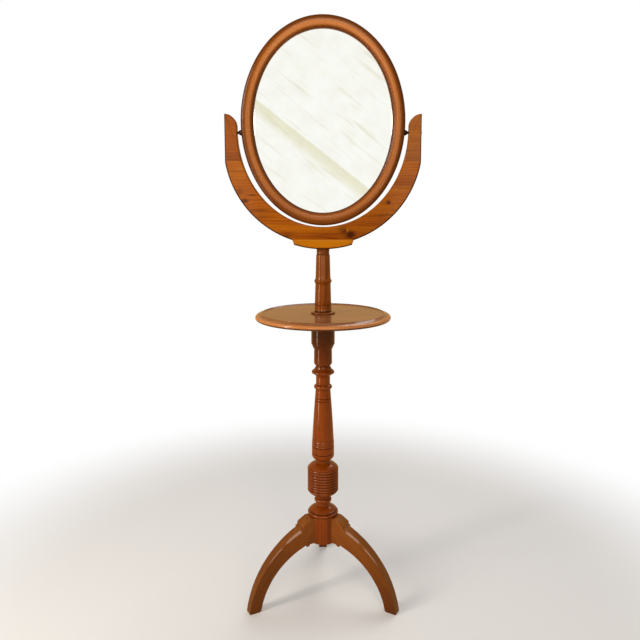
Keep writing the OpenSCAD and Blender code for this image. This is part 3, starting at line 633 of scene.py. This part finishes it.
def moulding_painted_highlight(net, grain):
    """A painted highlight: a pale band along the moulding's crest, palest at the top."""
    band = net.grey(across_moulding(net, grain), (0.16, 0.0), (0.34, 0.9), (0.48, 0.9), (0.66, 0.0),
                    smooth=True)
    return net.times(band, net.grey(up_the_frame(net), (0.0, 0.4), (0.6, 0.55), (0.95, 1.0)))


moulding = sweep_oval("frame_moulding", mould_section(), FRAME_ROUND)
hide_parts("mirror_frame")
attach(moulding, "mirror")
dress(moulding, wood("frame_pine", oval_grain(frame_centre, sight_a + MOULD_W / 2, sight_b + MOULD_W / 2),
                     rgb(150, 78, 10), rgb(104, 44, 5), pith=(0.012, 0.03), ring=0.0045, contrast=0.3,
                     warp=0.008, fibres=260, shade=moulding_edges_and_shade, painted_highlight=moulding_painted_highlight, dirt=0.0, coat=0.4,
                     coat_rough=0.2, relief=0.0, shift=33.0))


# ---- glass and iron -------------------------------------------------------------------
def silvered():
    """Old mirror: clear silver, very slightly uneven."""
    mat, net, shader = material("old_silvering")
    cloud = net.grey(net.noise(net.place(), 24.0, 5.0)["Fac"], (0.4, 0.0), (0.75, 1.0))
    net.put(net.mix(cloud, (0.96, 0.965, 0.95), (0.90, 0.90, 0.86)), shader.inputs["Base Color"])
    shader.inputs["Roughness"].default_value = 0.0
    shader.inputs["Metallic"].default_value = 1.0
    return mat


def iron(name, bare, rust, rough):
    """Iron with brown rust in patches."""
    mat, net, shader = material(name)
    place = net.place()
    rusty = net.grey(net.noise(place, 260.0, 4.0)["Fac"], (0.45, 0.0), (0.7, 0.8))
    net.put(net.mix(rusty, bare, rust), shader.inputs["Base Color"])
    net.put(net.plus(rough, net.times(rusty, 0.3)), shader.inputs["Roughness"])
    shader.inputs["Metallic"].default_value = 0.85
    bump(net, shader, net.noise(place, 1500.0, 4.0)["Fac"], 0.4, 0.0003)
    return mat


dress("mirror_glass", silvered())
black_iron = iron("black_iron", rgb(46, 42, 38), rgb(84, 56, 38), 0.38)
for name in ("pivot_screw_left", "pivot_screw_right", "pivot_boss_left", "pivot_boss_right"):
    dress(name, black_iron)
screw_steel = iron("screw_steel", rgb(120, 112, 100), rgb(96, 66, 44), 0.42)
for name in ("tray_screws", "saddle_screws", "backing_screws"):
    dress(name, screw_steel)

# ---- floor and room -------------------------------------------------------------------
WHITE = (1.0, 1.0, 1.0)
DAYLIGHT = (0.95, 0.96, 1.0)     # the room's own soft light
AMBIENT = 0.38                   # and its strength
FLOOR_TONE = (0.87, 0.86, 0.84)
FLOOR_SIZE = 60                  # metres
FLOOR_SHADOW_R = 0.75            # metres: inside this the floor takes light and shadow as it is
FLOOR_WHITE_R = 1.5              # beyond this the camera sees it as the white background
WARM_ROOM = (0.62, 0.37, 0.15)   # what varnish sees of the room
WARM_FRONT = (0.85, 0.50, 0.22)  # and straight in front
PALE_ROOM = (0.90, 0.89, 0.86)   # what the mirror sees of the room
FRONT_WHITE = (1.0, 1.0, 0.97)   # and straight in front: a white sheet
CREAM = (0.86, 0.84, 0.66)       # crossed by a cream fold
# places on that sheet, one metre in front of the mirror: (x, z) in metres
FRONT_MIDDLE = (0.0, 0.15)
FOLD_A = (-0.1105, 0.1795)
FOLD_B = (0.0789, 0.0324)
FOLD_W = 0.072                   # the stretch across the fold that its shade is read over
LEAST_DEPTH = 0.001              # for rays that never reach the sheet


def pale_floor():
    """A pale floor that keeps the stand's shadow and fades into the white background."""
    bpy.ops.mesh.primitive_plane_add(size=FLOOR_SIZE, location=(0, 0, 0))
    floor = bpy.context.object
    floor.name = "studio_floor"
    mat, net, shader = material("pale_floor")
    path = net.add("ShaderNodeLightPath").outputs
    varnish = net.calc("SUBTRACT", path["Is Glossy Ray"], path["Is Singular Ray"], clamp=True)
    net.put(net.mix(varnish, FLOOR_TONE, WARM_ROOM), shader.inputs["Base Color"])
    shader.inputs["Roughness"].default_value = 0.75
    white = net.add("ShaderNodeEmission")
    net.put(net.mix(varnish, WHITE, WARM_ROOM), white.inputs["Color"])
    fade = net.add("ShaderNodeMapRange", interpolation_type="SMOOTHSTEP")
    net.put(net.calc3("LENGTH", net.place()), fade.inputs["Value"])
    fade.inputs["From Min"].default_value = FLOOR_SHADOW_R
    fade.inputs["From Max"].default_value = FLOOR_WHITE_R
    seen = net.larger(path["Is Camera Ray"], path["Is Glossy Ray"])
    blend = net.add("ShaderNodeMixShader")
    net.put(net.times(seen, fade.outputs[0]), blend.inputs[0])
    net.put(shader.outputs[0], blend.inputs[1])
    net.put(white.outputs[0], blend.inputs[2])
    net.put(blend.outputs[0], net.tree.nodes["Material Output"].inputs["Surface"])
    dress(floor, mat)


def white_sheet(net, x, z):
    """The sheet that the mirror looks at, with its cream fold and fine creases along it."""
    way = (Vector(FOLD_B) - Vector(FOLD_A)).normalized()
    across = net.plus(net.times(net.minus(x, FOLD_A[0]), -way[1]), net.times(net.minus(z, FOLD_A[1]), way[0]))
    along = net.plus(net.times(x, way[0]), net.times(z, way[1]))
    fold = net.grey(net.plus(net.over(across, FOLD_W), 0.5), (0.25, 0.0), (0.42, 0.8), (0.58, 1.0),
                    (0.62, 0.0))
    crease = net.noise(net.join(net.times(along, 9.0), net.times(across, 110.0), 0.0), 1.0, 4.0)["Fac"]
    creased = net.ramp(crease, [(0.28, (0.88, 0.86, 0.76)), (0.45, WHITE), (0.7, (0.98, 0.98, 0.94))])
    return net.mix(1.0, net.mix(fold, FRONT_WHITE, CREAM), creased, "MULTIPLY")


def studio_world():
    """Soft daylight on the stand, a white background for the camera, and a room of its own for what
    is reflected, warm in varnish and pale in the mirror."""
    world = bpy.data.worlds.new("studio")
    bpy.context.scene.world = world
    world.use_nodes = True
    net = Net(world.node_tree)
    ray = net.split(net.add("ShaderNodeTexCoord").outputs["Generated"])
    # where the ray would meet the plane of the sheet, one metre in front
    depth = net.larger(net.times(ray[1], -1.0), LEAST_DEPTH)
    x, z = net.over(ray[0], depth), net.over(ray[2], depth)
    off = net.hypot(net.minus(x, FRONT_MIDDLE[0]), net.minus(z, FRONT_MIDDLE[1]))
    aside = net.grey(off, (0.35, 0.0), (1.0, 1.0), smooth=True)
    path = net.add("ShaderNodeLightPath").outputs
    mirrored = path["Is Singular Ray"]
    front = net.mix(mirrored, WARM_FRONT, white_sheet(net, x, z))
    room = net.mix(mirrored, WARM_ROOM, PALE_ROOM)
    polished = net.larger(path["Is Glossy Ray"], path["Is Transmission Ray"])
    seen = net.larger(path["Is Camera Ray"], polished)
    colour = net.mix(polished, net.mix(seen, DAYLIGHT, WHITE), net.mix(aside, front, room))
    background = world.node_tree.nodes["Background"]
    net.put(colour, background.inputs["Color"])
    net.put(net.plus(AMBIENT, net.times(seen, 1.0 - AMBIENT)), background.inputs["Strength"])


pale_floor()
studio_world()


# ---- lamps ----------------------------------------------------------------------------
def area(name, place, aim, width, height, power, colour):
    """Soft rectangular lamp that the camera itself doesn't see, in metres and watts."""
    data = bpy.data.lights.new(name, "AREA")
    data.shape = "RECTANGLE"
    data.size = width
    data.size_y = height
    data.energy = power
    data.color = colour
    lamp = bpy.data.objects.new(name, data)
    bpy.context.scene.collection.objects.link(lamp)
    lamp.visible_camera = False
    lamp.location = place
    x, y, z = (a - b for a, b in zip(aim, place))
    lamp.rotation_euler = (math.atan2(math.hypot(x, y), -z), 0, math.atan2(-x, y))


CHEST = (0, 0, 0.85)
area("window", (-2.7, -1.35, 2.3), CHEST, 1.4, 1.4, 30, (1.0, 0.97, 0.92))
area("tall_window", (-1.45, -0.85, 1.08), (0, 0, 1.08), 0.16, 2.0, 10, (1.0, 0.88, 0.72))
area("overhead", (0.15, -2.3, 2.7), CHEST, 1.2, 0.9, 12, (1.0, 0.90, 0.76))
area("right_panel", (0.69, -2.3, 1.3), (0.69, 0, 1.3), 0.5, 0.95, 6, (1.0, 0.84, 0.64))
area("left_panel", (-0.69, -2.3, 1.3), (-0.69, 0, 1.3), 0.5, 0.95, 6, (1.0, 0.84, 0.64))
area("rim", (0.9, 1.8, 3.4), CHEST, 2.0, 2.0, 34, WHITE)

# ---- camera ---------------------------------------------------------------------------
PHOTO = 640                      # pixels: the photograph's width and height
FOCAL = 590                      # pixels: the focal length that its perspective has
SENSOR = 36.0                    # millimetres
EYE = (0, -1.594, 1.067)         # metres: where the camera stands
LOOK_DOWN = 6.49                 # degrees
SHIFT = (-0.0047, -0.06)         # shares of the frame

cam = bpy.data.cameras.new("photo_camera")
cam.sensor_width = SENSOR
cam.lens = FOCAL / PHOTO * SENSOR
cam.shift_x, cam.shift_y = SHIFT
camera = bpy.data.objects.new("photo_camera", cam)
bpy.context.scene.collection.objects.link(camera)
camera.location = EYE
camera.rotation_euler = (math.radians(90 - LOOK_DOWN), 0, 0)
bpy.context.scene.camera = camera

bpy.context.scene.view_settings.view_transform = "Standard"
